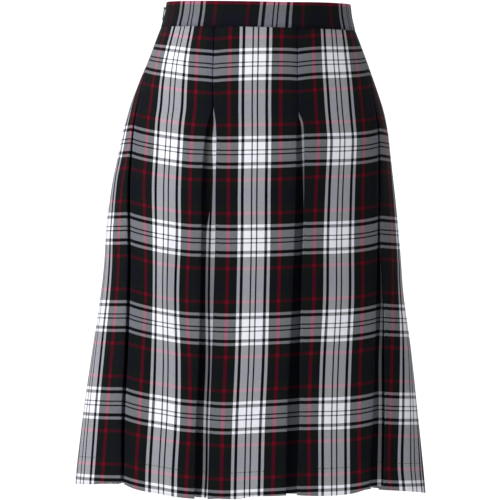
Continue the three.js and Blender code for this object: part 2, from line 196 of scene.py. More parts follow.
BACK = (
    (0, 50, 50, 2.2, 94.4, 2.2, 2.2, 94.4, 2.2, 99, 99, 43.5, 43.5, 0, 1, -24, -24, -24, -21.4),
    (43, 50.8, 50.8, 2.2, 99, 2.2, 2.2, 99, 2.2, 102, 102, 43.5, 43.5, 0, 1, -24, -24, -24, -21.4),
    (
        75, 51.8, 51.8, 2.2, 104, 2.2, 2.2, 104, 2.2,
        105.4, 105.4, 43.5, 43.5, 0, 1, -24, -24, -24, -21.4,
    ),
    (
        107, 52.4, 52.4, 2.4, 108, 2.2, 2.4, 108, 2.2,
        108.8, 108.8, 43.5, 43.5, 0, 1, -24, -24, -24, -21.4,
    ),
    (
        125, 51.6, 51.6, 7.5, 108, 2.3, 8.5, 107, 2.3,
        111, 111.4, 43.5, 43.5, 0, 1, -24, -24, -24, -21.4,
    ),
    (147, 51, 51, 12, 107, 2.4, 13, 106, 2.4, 113, 113.2, 45, 45, 0, 1, -24, -24, -24, -21.4),
    (209, 51, 51, 13.5, 105, 2.6, 14.5, 104, 2.6, 114, 114.4, 49, 49, 0, 1, -24, -24, -24, -21.4),
    (273, 50.4, 50.4, 14, 102, 3.6, 15.5, 101, 3, 112.6, 113.4, 51, 51, 0, 1, -24, -24, -24, -21.4),
    (350, 50, 50, 14.2, 100, 5.2, 16, 99.4, 3.8, 111.8, 112.8, 54, 54, 0, 1, -24, -24, -24, -21.4),
    (430, 49.6, 49.6, 15, 98.4, 7.4, 16.4, 98, 5, 111.6, 112.4, 54, 54, 0, 1, -24, -24, -24, -21.4),
    (
        505, 49.4, 49.4, 15.6, 97.6, 9.6, 16.8, 97.4, 6.6,
        111.8, 112.2, 54, 54, 0, 1, -24, -24, -24, -21.4,
    ),
    (
        571.5, 49.6, 49.6, 15.6, 97.4, 10.6, 16.6, 97.2, 7.6,
        111.9, 112.2, 54, 54, 0, 1, -24, -24, -24, -21.4,
    ),
    (603.5, 50, 50, 15.4, 97.2, 11, 16.2, 97, 8, 112, 112.2, 54, 54, 0, 1, -24, -24, -24, -21.4),
)

# The waistband's outline by height above its middle
BAND_COLUMNS = ("height", "half_width", "half_depth")
BAND = (
    (-16, 122.9, 85.8),
    (0, 118.6, 83),
    (16, 116.3, 81.3),
)

# One sett of the check, from the middle of the white stripe to the middle of the navy
REPEAT = 113.15
SETT_COLUMNS = ("yarn", "warp_to", "weft_to")
SETT = (
    ("white", 2.5, 1.9),
    ("black", 4.2, 3.5),
    ("white", 13.4, 12.9),
    ("black", 17.0, 16.9),
    ("white", 20.9, 20.7),
    ("green", 30.8, 33.0),
    ("red", 35.2, 37.4),
    ("green", 46.4, 47.0),
    ("navy", REPEAT / 2, REPEAT / 2),
)
# How far the weft's stripes run out of level, by arc from the middle of the piece, and
# how much more they do so in the lower half
GRAIN_COLUMNS = ("arc", "lifted", "lower")
FRONT_GRAIN = (
    (-230, 2.6, 0.9),
    (-152, 2.2, 1.5),
    (-114, 0.6, 1.9),
    (-81, -1.9, 1.4),
    (-35, -1.3, -0.7),
    (0, 0.2, 0.1),
    (35, 1.6, 1.0),
    (81, 4.0, 1.0),
    (114, 4.5, 0.6),
    (152, 4.7, 0.2),
    (230, 4.9, -1.2),
)
BACK_GRAIN = (
    (-230, 3.0, 0.5),
    (-100, 1.5, 1.0),
    (0, -0.5, 0.0),
    (100, 0.8, 0.8),
    (230, 3.4, 1.2),
)
LOWER_HALF = (340, 450)
# Where the first white weft stripe's middle lies below the waist seam
FIRST_WHITE = 48.6

# The waistband's own cloth is cut across the roll, so its upright stripes are weft. Its
# white stripe lies right of the middle and its navy stripe's middle below the top edge.
BAND_WHITE = 21.2
BAND_NAVY_BELOW_TOP = 26.3
# How far its stripes are moved to the right, and how much they lean
BAND_GRAIN_COLUMNS = ("x", "moved", "lean")
BAND_GRAIN = (
    (-118, 3.4, 0.0),
    (-90, 3.2, -0.007),
    (-59, 2.0, 0.017),
    (12, 1.6, 0.112),
    (53, 2.7, 0.14),
    (115, 0.0, 0.05),
)
# How much the band's top rises at the right
BAND_RISE = 1.5

# The soft creases. arc is along the outline from the middle of the piece,
# lean how far the crease wanders sideways from start to end. Those that end below the hem
# are fullest there.
CREASE_COLUMNS = ("arc", "start", "end", "width", "height", "lean")
FRONT_CREASES = (
    (-205, 250, 600, 14, 1.6, -14),
    (-188, 380, 640, 11, -1.3, 6),
    (-150, 330, 640, 16, 1.4, 8),
    (-118, 420, 640, 13, -1.0, -6),
    (-116, 225, 440, 12, 4.5, 6),
    (-84, 360, 640, 12, 1.1, 4),
    (-30, 300, 640, 22, 0.9, 10),
    (6, 430, 640, 15, -0.9, -8),
    (34, 380, 640, 12, 0.9, 3),
    (86, 330, 640, 14, 1.2, -7),
    (120, 400, 640, 15, -1.1, 9),
    (150, 300, 640, 13, 1.4, -4),
    (186, 280, 640, 12, -1.4, 7),
    (206, 330, 640, 13, 1.7, 10),
    (-196, 120, 260, 7, 1.1, -9),
    (-120, 40, 170, 18, 0.8, -12),
    (120, 40, 180, 18, 0.8, 12),
)
BACK_CREASES = (
    (-200, 260, 640, 13, 1.5, 8),
    (-160, 340, 640, 15, -1.2, -6),
    (-104, 380, 640, 14, 1.2, 8),
    (-40, 320, 640, 18, 1.0, -7),
    (-4, 420, 640, 14, -1.0, 6),
    (36, 350, 640, 13, 1.1, 4),
    (98, 300, 640, 15, 1.3, -9),
    (138, 390, 640, 14, -1.2, 6),
    (176, 280, 640, 13, 1.5, 8),
    (-110, 50, 190, 20, 0.9, -10),
    (112, 40, 180, 18, 0.9, 10),
)

# How much fuller the skirt hangs than its outline, at its right and left sides, from
# FULLER_FROM of the half width outwards
FULLER_COLUMNS = ("drop", "right", "left")
FULLER = (
    (0, 2.9, 0),
    (43, 4.6, 0),
    (75, 4.0, 0),
    (107, 3.8, 0),
    (125, 3.4, 0),
    (147, 2.0, 0),
    (185, 0.4, 0.4),
    (209, 0.2, 1.6),
    (273, 1.4, 2.0),
    (312, 1.8, 0.4),
    (350, 1.9, 0),
    (415, 3.8, 0),
    (505, 4.2, 0),
    (571.5, 5.2, 0),
    (603.5, 6.0, 0),
)
FULLER_FROM = 0.7

# How much longer or shorter the cloth hangs at the hem, by arc, and how much shorter it
# does inside the pleats
HEM_COLUMNS = ("arc", "longer")
FRONT_HEM = (
    (-245, 0.5),
    (-205, -1.5),
    (-176, -4.5),
    (-150, -1.5),
    (-112, 0.5),
    (-88, 3.0),
    (-58, 4.4),
    (-40, 2.8),
    (-12, 2.4),
    (4, -1.0),
    (34, -2.4),
    (52, -3.2),
    (64, -2.6),
    (104, -2.0),
    (134, -2.6),
    (158, -5.2),
    (172, -4.8),
    (188, -2.5),
    (210, 0.0),
    (245, 3.0),
)
BACK_HEM = (
    (-245, 3.0),
    (-180, -2.0),
    (-160, -3.5),
    (-100, 1.5),
    (-58, -2.5),
    (0, 2.0),
    (58, -3.0),
    (110, 1.0),
    (160, -3.0),
    (245, 0.5),
)
HEM_EASE_FROM = 470.0
HIDDEN_SHORTER = 2.0

# How far the weft dips and the cloth is drawn in along the stitched seams on both sides
# of the middle panel
SEAM_DIP = 2.2
SEAM_DIP_WIDTH = 14.0
SEAM_DRAWN = 0.9
SEAM_DRAWN_WIDTH = 5.0
SEAM_FADE = (95, 165)

# The small puckers in the left seam
PUCKER_AT = 268.0
PUCKER_REACH = 20.0
PUCKER_STEP = 9.5
PUCKER_INTO = 16.0
PUCKER_HEIGHT = 1.4


def smooth_step(low, high, value):
    share = min(max((value - low) / (high - low), 0.0), 1.0)
    return share * share * (3 - 2 * share)


class Table:
    """Rows with named columns, read between the rows along a smooth curve."""

    def __init__(self, columns, rows):
        self.columns = columns[1:]
        self.keys = [row[0] for row in rows]
        self.rows = [row[1:] for row in rows]

    def slope(self, row, column):
        before, after = max(row - 1, 0), min(row + 1, len(self.rows) - 1)
        rise = self.rows[after][column] - self.rows[before][column]
        return rise / (self.keys[after] - self.keys[before])

    def at(self, key):
        key = min(max(key, self.keys[0]), self.keys[-1])
        row = 0
        while row < len(self.keys) - 2 and self.keys[row + 1] <= key:
            row += 1
        span = self.keys[row + 1] - self.keys[row]
        t = (key - self.keys[row]) / span
        weights = (
            2 * t**3 - 3 * t**2 + 1,
            (t**3 - 2 * t**2 + t) * span,
            3 * t**2 - 2 * t**3,
            (t**3 - t**2) * span,
        )
        found = {}
        for column, name in enumerate(self.columns):
            parts = (
                self.rows[row][column],
                self.slope(row, column),
                self.rows[row + 1][column],
                self.slope(row + 1, column),
            )
            found[name] = sum(weight * part for weight, part in zip(weights, parts))
        return found


class Outline:
    """An ellipse seen from above, walked by arc length from its front middle."""

    STEPS = 360

    def __init__(self, half_width, half_depth):
        self.half_width = half_width
        self.half_depth = half_depth
        self.arcs = [0.0]
        step = math.tau / self.STEPS
        for i in range(self.STEPS):
            self.arcs.append(self.arcs[i] + self.speed((i + 0.5) * step) * step)
        self.length = self.arcs[-1]
        self.quarter = self.length / 4

    def speed(self, turn):
        return math.hypot(self.half_width * math.cos(turn), self.half_depth * math.sin(turn))

    def turn_at(self, arc):
        along = min(abs(arc), self.length)
        low, high = 0, self.STEPS
        while high - low > 1:
            middle = (low + high) // 2
            if self.arcs[middle] <= along:
                low = middle
            else:
                high = middle
        share = (along - self.arcs[low]) / (self.arcs[high] - self.arcs[low])
        return math.copysign((low + share) * math.tau / self.STEPS, arc)

    def slant(self, arc):
        """How far sideways the view from the front runs for each millimetre inwards."""
        turn = self.turn_at(arc)
        return self.half_depth * math.sin(turn) / max(self.half_width * math.cos(turn), 1.0)

    def point(self, arc, depth):
        turn = self.turn_at(arc)
        away = Vector((self.half_depth * math.sin(turn), -self.half_width * math.cos(turn)))
        line = Vector((self.half_width * math.sin(turn), -self.half_depth * math.cos(turn)))
        return line - away.normalized() * depth


class PleatPath:
    """The line that the cloth follows round one piece at one level, with the place of
    each of its points on the flat cloth."""

    def __init__(self, folds, outline, layer, deep, drop, shift):
        self.points = []
        self.nose = layer / 2
        self.layer = layer
        self.deep = deep
        closing = STITCH_CLOSING * (1 - smooth_step(STITCHED_TO, STITCHED_TO + STITCH_EASE, drop))
        seam = outline.quarter + shift - SEAM_GAP / 2
        half = closing / 2
        left_end = -folds["centre_left"] - folds["left_gap"] + half
        left_start = left_end - folds["left_panel"] - closing
        right_start = folds["centre_right"] + folds["right_gap"] - half
        right_end = right_start + folds["right_panel"] + closing
        left_fold = left_start - folds["left_outer"] + closing
        right_fold = right_end + folds["right_outer"] - closing
        drawn = max(0.0, 1 - drop / DRAWN_TO)
        sway = folds["sway"]
        gather = folds["left_gather"]
        far_left = left_fold - folds["left_beyond"]
        far_right = right_fold + folds["right_beyond"]
        shown = (OUTER_SHOWN, folds["left_shown"], folds["right_shown"], folds["far_shown"])
        shade_tucks = (SHADE_TUCK_AT, folds["left_shade_tuck"], SHADE_TUCK_AT, SHADE_TUCK_AT)
        middle_start = -folds["centre_left"] - half
        middle_end = folds["centre_right"] + half
        panels = (
            (-seam, left_fold, SIDE_SPANS, far_left, -4, 1.0, 1.0),
            (
                left_start,
                left_end,
                PANEL_SPANS,
                -folds["left_white"],
                -2,
                gather,
                gather + DRAWN_LEFT * drawn,
            ),
            (middle_start, middle_end, PANEL_SPANS, 0.0, 0, 1.0, 1.0),
            (
                right_start,
                right_end,
                PANEL_SPANS,
                folds["right_white"],
                2,
                1 + DRAWN_RIGHT * drawn,
                1.0,
            ),
            (right_fold, seam, SIDE_SPANS, far_right, 4, 1.0, 1.0),
        )
        last = len(panels) - 1
        panels = [
            (
                start + sway * (i > 0),
                end + sway * (i < last),
                spans,
                white + sway,
                *check,
            )
            for i, (start, end, spans, white, *check) in enumerate(panels)
        ]
        for i, (start, end, spans, white, setts, scale_left, scale_right) in enumerate(panels):
            def on_cloth(arc):
                scale = scale_left if arc < white else scale_right
                return setts * REPEAT + (arc - white) * scale

            first_arc = start if i == 0 else start + self.nose
            last_arc = end if i == last else end - self.nose
            for k in range(spans + (i == last)):
                arc = first_arc + (last_arc - first_arc) * k / spans
                self.points.append((arc, 0.0, on_cloth(arc)))
            if i == last:
                continue
            following = panels[i + 1]
            room_left = end - start - FOLD_TO_SEAM if i == 0 else math.inf
            room_right = following[1] - following[0] - FOLD_TO_SEAM if i + 1 == last else math.inf
            onward = following[4] * REPEAT + (following[0] - following[3]) * following[5]
            hidden_white = (setts + following[4]) / 2 * REPEAT
            cloth = (on_cloth(end), hidden_white + shown[i], onward, hidden_white + shade_tucks[i])
            room = (room_left, room_right)
            self.pleat(end, following[0], cloth, SHOWN_RATES[i], room, outline)

    def pleat(self, left, right, cloth, rate, room, outline):
        """The hidden part of an inverted pleat, from one outer fold to the next. cloth is
        the place on the cloth of the left fold, of what shows at the right, of the right
        fold, and of the jump in the check between the first two, which puts darker cloth
        in the opening as painted shade."""
        cloth_left, cloth_shown, cloth_right, cloth_shade_tuck = cloth
        drawn = (right - left) * FOLD_DRAWN
        inner_left = left - min(UNDER_LEFT - drawn, room[0])
        inner_right = right + min(UNDER_RIGHT - drawn, room[1])
        shallow = self.layer
        under = self.deep
        back = under - shallow
        first = inner_left + self.nose
        last = inner_right - self.nose
        opens = min(max(left + outline.slant(left) * under, first + 1), last - 6)
        shuts = max(min(right + outline.slant(right) * under, last - 1), opens + 4)
        # Where the check jumps, as at a tuck that isn't modelled; left of it darker cloth shows in
        # the opening as painted shade in place of the red stripe.
        shade_tuck = min(max(shuts - (cloth_shown - cloth_shade_tuck) / rate, opens + 1), shuts - 1)
        hidden = []
        self.fold_nose(hidden, left, 1, 0.0, shallow)
        self.straight(hidden, (left - self.nose, shallow), (first, back), RETURN_SPANS)
        self.fold_nose(hidden, inner_left, -1, back, under)
        stops = (first, opens, shade_tuck - SHADE_TUCK_WIDTH, shade_tuck, shuts, last)
        spans = (HIDDEN_SPANS, SHOWN_SPANS, 1, SHOWN_SPANS, HIDDEN_SPANS)
        marks = []
        for start, stop, count in zip(stops, stops[1:], spans):
            marks.append(len(hidden) - 1)
            self.straight(hidden, (start, under), (stop, under), count)
            hidden.append((stop, under))
        hidden.pop()
        self.fold_nose(hidden, inner_right, 1, under, back)
        self.straight(hidden, (last, back), (right + self.nose, shallow), RETURN_SPANS)
        self.fold_nose(hidden, right, -1, shallow, 0.0)
        lengths = [0.0]
        for before, after in zip(hidden, hidden[1:]):
            lengths.append(lengths[-1] + math.dist(before, after))
        until_open, until_shut = lengths[marks[1]], lengths[marks[4]]
        cloth_open = cloth_shown - (shuts - opens) * rate - SHADE_TUCKED
        early = TRUE_SHARE * until_open
        slow = (cloth_open - cloth_left - early) / (until_open - early)
        rest = (cloth_right - cloth_shown) / (lengths[-1] - until_shut)
        for i, ((arc, depth), length) in enumerate(zip(hidden, lengths)):
            if i < marks[1]:
                place = cloth_left + min(length, early) + slow * max(length - early, 0.0)
            elif i < marks[4]:
                place = cloth_shown - (shuts - arc) * rate - SHADE_TUCKED * (i < marks[3])
            else:
                place = cloth_shown + (length - until_shut) * rest
            self.points.append((arc, depth, place))

    def straight(self, hidden, start, end, spans):
        for k in range(1, spans):
            hidden.append(tuple(Vector(start).lerp(Vector(end), k / spans)))

    def fold_nose(self, hidden, at, side, depth, next_depth):
        """A half round fold. side is 1 where the cloth comes from the left."""
        radius = abs(next_depth - depth) / 2
        middle = (depth + next_depth) / 2
        for k in range(NOSE_SPANS + 1):
            turn = math.pi * k / NOSE_SPANS - math.pi / 2
            out = radius * (math.cos(turn) - 1)
            hidden.append((at + side * out, middle + (next_depth - middle) * math.sin(turn)))


def crease_height(creases, arc, drop):
    """How far the creases lift the cloth outwards at one place."""
    height = 0.0
    for crease in creases:
        share = (drop - crease["start"]) / (crease["end"] - crease["start"])
        if not 0 < share < 1:
            continue
        away = (arc - crease["arc"] - crease["lean"] * share) / crease["width"]
        if crease["end"] > BODY_LENGTH:
            share /= 2
        height += crease["height"] * math.sin(math.pi * share) * math.exp(-away * away)
    slow = math.sin(arc / 21 + drop / 90) * math.sin(drop / 130 + arc / 55)
    return height + 0.5 * slow * smooth_step(60, 420, drop)


def fuller(x, half_width, right, left):
    """A place along X, moved outwards where the skirt is fuller than its outline."""
    more = right if x > 0 else left
    return x + math.copysign(more * smooth_step(FULLER_FROM, 1.0, abs(x) / half_width), x)


def pucker_height(from_seam, drop):
    """The ripples of the cloth gathered in the left seam."""
    down = (drop - PUCKER_AT) / PUCKER_REACH
    wave = math.sin(math.tau * (drop + 0.25 * from_seam) / PUCKER_STEP)
    fade = math.exp(-down * down - from_seam / PUCKER_INTO)
    return PUCKER_HEIGHT * (0.4 + wave) * fade


def move_grid(bm, columns, rows, place):
    """Lays a grid of columns by rows vertices where place(column, row) says. place gives
    a point and its coordinates on the flat cloth, all in millimetres."""
    bmesh.ops.create_grid(bm, x_segments=columns - 1, y_segments=rows - 1, size=1)
    if len(bm.verts) != columns * rows:
        raise RuntimeError(f"the grid has {len(bm.verts)} vertices, not {columns * rows}")
    cloth = {}
    for vert in bm.verts:
        column = round((vert.co.x + 1) / 2 * (columns - 1))
        row = round((1 - vert.co.y) / 2 * (rows - 1))
        point, cloth[vert] = place(column, row)
        vert.co = Vector(point) * MM
    layer = bm.loops.layers.uv.new("cloth")
    for face in bm.faces:
        face.smooth = True
        for loop in face.loops:
            loop[layer].uv = Vector(cloth[loop.vert]) * MM


def finish_piece(bm, name, material):
    mesh = bpy.data.meshes.new(name)
    bm.to_mesh(mesh)
    bm.free()
    piece = bpy.data.objects.new(name, mesh)
    bpy.context.scene.collection.objects.link(piece)
    mesh.materials.append(material)
    return piece


def thicken(piece, thickness):
    solid = piece.modifiers.new("Cloth thickness", "SOLIDIFY")
    solid.thickness = thickness * MM
    solid.offset = 0.0


def pleated_rows(folds_table, creases, grain, hem, facing):
    """The points of the front or the back, row by row from the waist seam to the hem and
    up again inside it. facing is 1 for the front and -1 for the back."""
    levels = Table(LEVEL_COLUMNS, LEVELS)
    folds_table = Table(FOLD_COLUMNS, folds_table)
    grain = Table(GRAIN_COLUMNS, grain)
    hem = Table(HEM_COLUMNS, hem)
    sides = Table(FULLER_COLUMNS, FULLER)
    creases = [dict(zip(CREASE_COLUMNS, crease)) for crease in creases]
    step = HEM_DEPTH / HEM_SPANS
    count = math.ceil(BODY_LENGTH / step)
    drops = [0.0] + [BODY_LENGTH - step * (count - 1 - k) for k in range(count)]
    rows = []
    reaches = {}
    for drop in drops:
        level = levels.at(drop)
        outline = Outline(level["half_width"], level["half_depth"])
        folds = folds_table.at(drop)
        side = sides.at(drop)
        shift = facing * SEAM_SHIFT
        path = PleatPath(folds, outline, level["layer"], level["deep"], drop, shift)
        zip_seam = -facing * outline.quarter - SEAM_SHIFT
        eased = smooth_step(HEM_EASE_FROM, BODY_LENGTH, drop)
        lower = smooth_step(*LOWER_HALF, drop)
        stitched = 1 - smooth_step(*SEAM_FADE, drop)
        row = []
        for i, (arc, depth, across) in enumerate(path.points):
            lift = crease_height(creases, arc, drop)
            lift += pucker_height(abs(arc - zip_seam), drop)
            from_seam = min(abs(arc + folds["centre_left"]), abs(arc - folds["centre_right"]))
            lift -= SEAM_DRAWN * stitched * math.exp(-(from_seam / SEAM_DRAWN_WIDTH) ** 2)
            flat = outline.point(arc, depth - lift) * facing
            flat.x = fuller(flat.x, outline.half_width, side["right"], side["left"])
            shorter = HIDDEN_SHORTER if depth > level["layer"] else 0.0
            reach = drop + eased * (hem.at(arc)["longer"] - shorter)
            z = SKIRT_TOP
            if rows:
                above, _ = rows[-1][i]
                sideways = math.hypot(flat.x - above[0], flat.y - above[1])
                length = reach - reaches[i]
                z = above[2] - math.sqrt(max(length**2 - sideways**2, (length / 2) ** 2))
            off_level = grain.at(arc)
            dip = SEAM_DIP * stitched * math.exp(-from_seam / SEAM_DIP_WIDTH)
            down = reach - FIRST_WHITE + off_level["lifted"] + off_level["lower"] * lower - dip
            row.append(((flat.x, flat.y, z), (across, down)))
            reaches[i] = reach
        rows.append(row)
    body = list(rows)
    for k in range(HEM_SPANS + 1):
        source = body[len(body) - 1 - k]
        row = []
        for i, (point, (across, down)) in enumerate(source):
            before = source[max(i - 1, 0)][0]
            after = source[min(i + 1, len(source) - 1)][0]
            along = Vector((after[0] - before[0], after[1] - before[1])).normalized()
            inward = Vector((-along.y, along.x)) * HEM_OFFSET
            turned = down + 2 * k * step
            row.append(((point[0] + inward.x, point[1] + inward.y, point[2]), (across, turned)))
        rows.append(row)
    return rows


class Wire:
    """A shader socket that takes part in sums written as Python expressions."""

    def __init__(self, tree, socket):
        self.tree = tree
        self.socket = socket

    def math(self, operation, *values):
        node = self.tree.nodes.new("ShaderNodeMath")
        node.operation = operation
        for slot, value in zip(node.inputs, values):
            if isinstance(value, Wire):
                self.tree.links.new(value.socket, slot)
            else:
                slot.default_value = value
        return Wire(self.tree, node.outputs[0])

    def __add__(self, other):
        return self.math("ADD", self, other)

    def __radd__(self, other):
        return self.math("ADD", other, self)

    def __sub__(self, other):
        return self.math("SUBTRACT", self, other)

    def __rsub__(self, other):
        return self.math("SUBTRACT", other, self)

    def __mul__(self, other):
        return self.math("MULTIPLY", self, other)

    def __rmul__(self, other):
        return self.math("MULTIPLY", other, self)

    def __truediv__(self, other):
        return self.math("DIVIDE", self, other)

    def __abs__(self):
        return self.math("ABSOLUTE", self)

    def sine(self):
        return self.math("SINE", self)

    def fraction(self):
        return self.math("FRACT", self)

    def below(self, limit, softness):
        """1 below the limit, 0 above it, with a soft edge."""
        step = self.math("SUBTRACT", limit, self) / softness + 0.5
        step.socket.node.use_clamp = True
        return step


class Finish:
    """One material and the way its nodes are made."""

    def __init__(self, name):
        self.material = bpy.data.materials.new(name)
        self.material.use_nodes = True
        self.tree = self.material.node_tree
        self.shader = self.tree.nodes["Principled BSDF"]

    def node(self, kind, settings=None, inputs=None, output=0):
        node = self.tree.nodes.new(kind)
        for name, value in (settings or {}).items():
            if name == "stops":
                self.set_stops(node.color_ramp, value)
            else:
                setattr(node, name, value)
        for name, value in (inputs or {}).items():
            self.feed(node.inputs[name], value)
        return Wire(self.tree, node.outputs[output])

    def feed(self, socket, value):
        if isinstance(value, Wire):
            self.tree.links.new(value.socket, socket)
        else:
            socket.default_value = value

    def set_stops(self, ramp, stops):
        while len(ramp.elements) > 1:
            ramp.elements.remove(ramp.elements[-1])
        ramp.elements[0].position = stops[0][0]
        ramp.elements[0].color = (*stops[0][1], 1)
        for place, colour in stops[1:]:
            ramp.elements.new(place).color = (*colour, 1)

    def mix(self, share, first, second):
        return self.node(
            "ShaderNodeMix",
            {"data_type": "RGBA"},
            {0: share, 6: first, 7: second},
            output=2,
        )

    def set(self, **values):
        for name, value in values.items():
            self.feed(self.shader.inputs[name.replace("_", " ")], value)


# Woven colours add up nearly as they do on a screen, not as light does.
WEAVE_GAMMA = 2.25
SCREEN_GAMMA = 1.02
# The weft's share of the colour, and how much it changes along and across the wales
WEFT_SHARE = 0.405
WALE_SHARE = 0.13
CROSS_SHARE = 0.04


def yarn_code(colour):
    """A yarn's screen colour, 0 to 255, on the scale that woven yarns are mixed on."""
    return tuple((part / 255) ** (1 / SCREEN_GAMMA) for part in colour)


def tartan(name, yarns, wale, stitch_rows):
    """The tartan twill, laid out by the piece's own cloth coordinates."""
    finish = Finish(name)
    cloth = finish.node("ShaderNodeUVMap", {"uv_map": "cloth"})
    split = finish.node("ShaderNodeSeparateXYZ", inputs={"Vector": cloth}).socket.node
    across = Wire(finish.tree, split.outputs["X"])
    down = Wire(finish.tree, split.outputs["Y"])
    blur = 0.3 / (REPEAT / 2)
    ramps = []
    for direction in ("warp_to", "weft_to"):
        column = SETT_COLUMNS.index(direction)
        starts = [0.0] + [row[column] / (REPEAT / 2) for row in SETT]
        stops = []
        for row, start, to in zip(SETT, starts, starts[1:]):
            stops.append((start + blur / 2 if start else 0.0, yarn_code(yarns[row[0]])))
            stops.append((to - blur / 2, yarn_code(yarns[row[0]])))
        ramps.append(stops)

    def stripes(along, stops):
        turn = (along / (REPEAT * MM) + 0.5).fraction() - 0.5
        return finish.node("ShaderNodeValToRGB", {"stops": stops}, {"Fac": abs(turn) * 2})

    diagonal = ((across + down) * (math.tau / (wale * MM))).sine()
    cross = ((across - down) * (math.tau / (wale * MM * 0.5))).sine()
    share = WEFT_SHARE + diagonal * WALE_SHARE + cross * CROSS_SHARE
    woven = finish.mix(share, stripes(across, ramps[0]), stripes(down, ramps[1]))
    slub = finish.node(
        "ShaderNodeTexNoise", inputs={"Vector": cloth, "Scale": 260.0, "Detail": 2.0}
    )
    tone = finish.node("ShaderNodeTexNoise", inputs={"Vector": cloth, "Scale": 9.0, "Detail": 3.0})
    woven = finish.node("ShaderNodeGamma", inputs={"Color": woven, "Gamma": WEAVE_GAMMA})
    light = 0.86 + slub * 0.16 + tone * 0.12
    coloured = finish.node(
        "ShaderNodeVectorMath",
        {"operation": "SCALE"},
        {"Vector": woven, "Scale": light},
    )
    height = diagonal * 0.5 + cross * 0.2 + slub * 0.8
    for row in stitch_rows:
        line = abs(down - row * MM).below(0.0004, 0.0003)
        dash = abs((across / 0.0036).fraction() - 0.5).below(0.36, 0.08)
        coloured = finish.mix(line * dash * 0.75, coloured, (0.004, 0.004, 0.006, 1))
        height = height - line * 2.5
    bump = finish.node(
        "ShaderNodeBump", inputs={"Height": height, "Distance": 0.00012, "Strength": 0.7}
    )
    finish.set(
        Base_Color=coloured,
        Roughness=0.82 + slub * 0.1,
        Normal=bump,
        Specular_IOR_Level=0.08,
        Sheen_Weight=0.02,
        Sheen_Roughness=0.4,
    )
    return finish.material


def enamelled_metal(name):
    """Dark enamel with the fine unevenness of a cast slider."""
    finish = Finish(name)
    place = finish.node("ShaderNodeTexCoord", output=3)
    grain = finish.node(
        "ShaderNodeTexNoise", inputs={"Vector": place, "Scale": 900.0, "Detail": 3.0}
    )
    wear = finish.node(
        "ShaderNodeTexNoise", inputs={"Vector": place, "Scale": 220.0, "Detail": 4.0}
    )
    bright = finish.mix(wear.below(0.4, 0.15), (0.03, 0.03, 0.035, 1), (0.13, 0.13, 0.14, 1))
    bump = finish.node("ShaderNodeBump", inputs={"Height": grain, "Distance": 0.00004})
    finish.set(Base_Color=bright, Roughness=0.28 + grain * 0.2, Normal=bump, Metallic=0.75)
    return finish.material


def woven_tape(name):
    """Dark tape, closely ribbed."""
    finish = Finish(name)
    place = finish.node("ShaderNodeTexCoord", output=3)
    wave = finish.node(
        "ShaderNodeTexWave",
        {"bands_direction": "Z"},
        {"Vector": place, "Scale": 420.0, "Distortion": 1.0, "Detail": 2.0},
        output=1,
    )
    bump = finish.node("ShaderNodeBump", inputs={"Height": wave, "Distance": 0.0001})
    colour = finish.mix(wave, (0.008, 0.008, 0.012, 1), (0.02, 0.02, 0.028, 1))
    finish.set(Base_Color=colour, Roughness=0.8, Normal=bump)
    return finish.material


def studio_paper(name, colour):
    """Pale paper that can be looked through from its rear side."""
    finish = Finish(name)
    place = finish.node("ShaderNodeTexCoord", output=3)
    grain = finish.node("ShaderNodeTexNoise", inputs={"Vector": place, "Scale": 40.0})
    shade = finish.mix(grain, colour, tuple(part * 0.99 for part in colour[:3]) + (1,))
    rear = finish.node("ShaderNodeNewGeometry", output=6)
    finish.set(Base_Color=shade, Roughness=0.9, Alpha=1 - rear)
    return finish.material


class SkirtCloth(bpy.types.PropertyGroup):
    """The cloth and its yarns."""

    thickness: bpy.props.FloatProperty(
        name="Thickness", description="Thickness of the twill", default=0.0008, unit="LENGTH",
    )
    wale: bpy.props.FloatProperty(
        name="Wale", description="Spacing of the twill's ribs, in millimetres", default=1.9,
    )
    white: bpy.props.FloatVectorProperty(
        name="White yarn", description="Screen colour, 0 to 255", default=(221, 221, 230),
        min=0, max=255,
    )
    black: bpy.props.FloatVectorProperty(
        name="Black yarn", description="Screen colour, 0 to 255", default=(9, 9, 12),
        min=0, max=255,
    )
    green: bpy.props.FloatVectorProperty(
        name="Green yarn", description="Screen colour, 0 to 255", default=(18, 23, 21),
        min=0, max=255,
    )
    red: bpy.props.FloatVectorProperty(
        name="Red yarn", description="Screen colour, 0 to 255", default=(96, 5, 28),
        min=0, max=255,
    )
    navy: bpy.props.FloatVectorProperty(
        name="Navy yarn", description="Screen colour, 0 to 255", default=(17, 18, 27),
        min=0, max=255,
    )


class SkirtView(bpy.types.PropertyGroup):
    """Where the photograph was taken from."""

    distance: bpy.props.FloatProperty(
        name="Distance", description="From the camera to the waist's middle", default=8.0,
        unit="LENGTH",
    )
    seen: bpy.props.FloatProperty(
        name="Width seen", description="Width of the picture at the front", default=0.6394,
        unit="LENGTH",
    )
    side: bpy.props.FloatProperty(
        name="Aside", description="Camera's place along X", default=-0.0035, unit="LENGTH",
    )
    height: bpy.props.FloatProperty(
        name="Height", description="Camera's place along Z", default=-0.3022, unit="LENGTH",
    )
    roll: bpy.props.FloatProperty(
        name="Roll", description="Tilt of the picture", default=math.radians(1.12),
        subtype="ANGLE",
    )


def cloth_material(context, stitch_rows, name):
    cloth = context.scene.skirt_cloth
    yarns = {yarn: getattr(cloth, yarn) for yarn in ("white", "black", "green", "red", "navy")}
    return tartan(name, yarns, cloth.wale, stitch_rows)


def make_pleated(context, name, node, tables, facing):
    """The front's or the back's cloth in place of its solid. tables are its folds, creases,
    grain and hem."""
    rows = pleated_rows(*tables, facing)
    columns = len(rows[0])
    bm = bmesh.new()
    move_grid(bm, columns, len(rows), lambda column, row: rows[row][column])
    stitches = (BODY_LENGTH - HEM_DEPTH - FIRST_WHITE,)
    piece = finish_piece(bm, name, cloth_material(context, stitches, name + "_tartan"))
    thicken(piece, context.scene.skirt_cloth.thickness / MM)
    across = [cloth[0] for row in rows for _, cloth in row]
    width = (max(across) - min(across)) * MM
    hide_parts(node)
    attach(piece, BODY)


